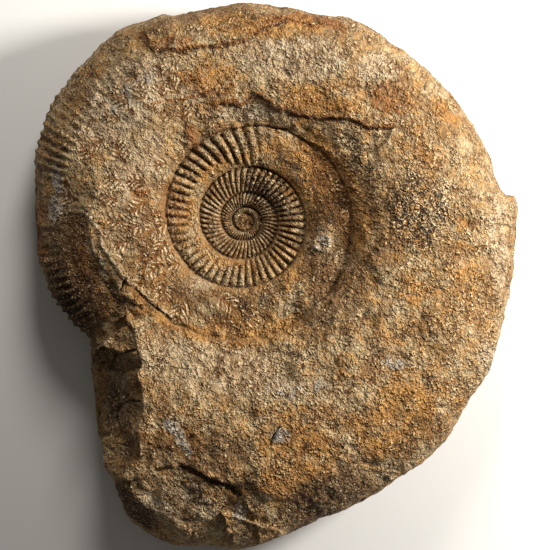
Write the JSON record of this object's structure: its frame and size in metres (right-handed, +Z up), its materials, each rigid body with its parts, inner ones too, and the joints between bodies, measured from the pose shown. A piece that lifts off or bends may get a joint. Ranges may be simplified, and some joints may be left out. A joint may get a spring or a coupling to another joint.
{
  "type": "ammonite fossil",
  "caption": "Weathered stone mould of a coiled ammonite with a broken mouth and a ribbed, stepped centre, lying flat on its flank.",
  "frame": {"origin": "middle of the footprint, on the surface that the fossil lies on", "axes": "+Z up from the resting flank to the displayed flank; +Y from the broken mouth's side towards the far side of the coil, along the longest extent; +X across the coil"},
  "size_m": [0.2147, 0.2421, 0.0568],
  "materials": {
    "weathered_stone": "rough, matt, iron-stained limestone"
  },
  "bodies": {
    "root": {"ammonite": "weathered_stone"}
  },
  "joints": []
}
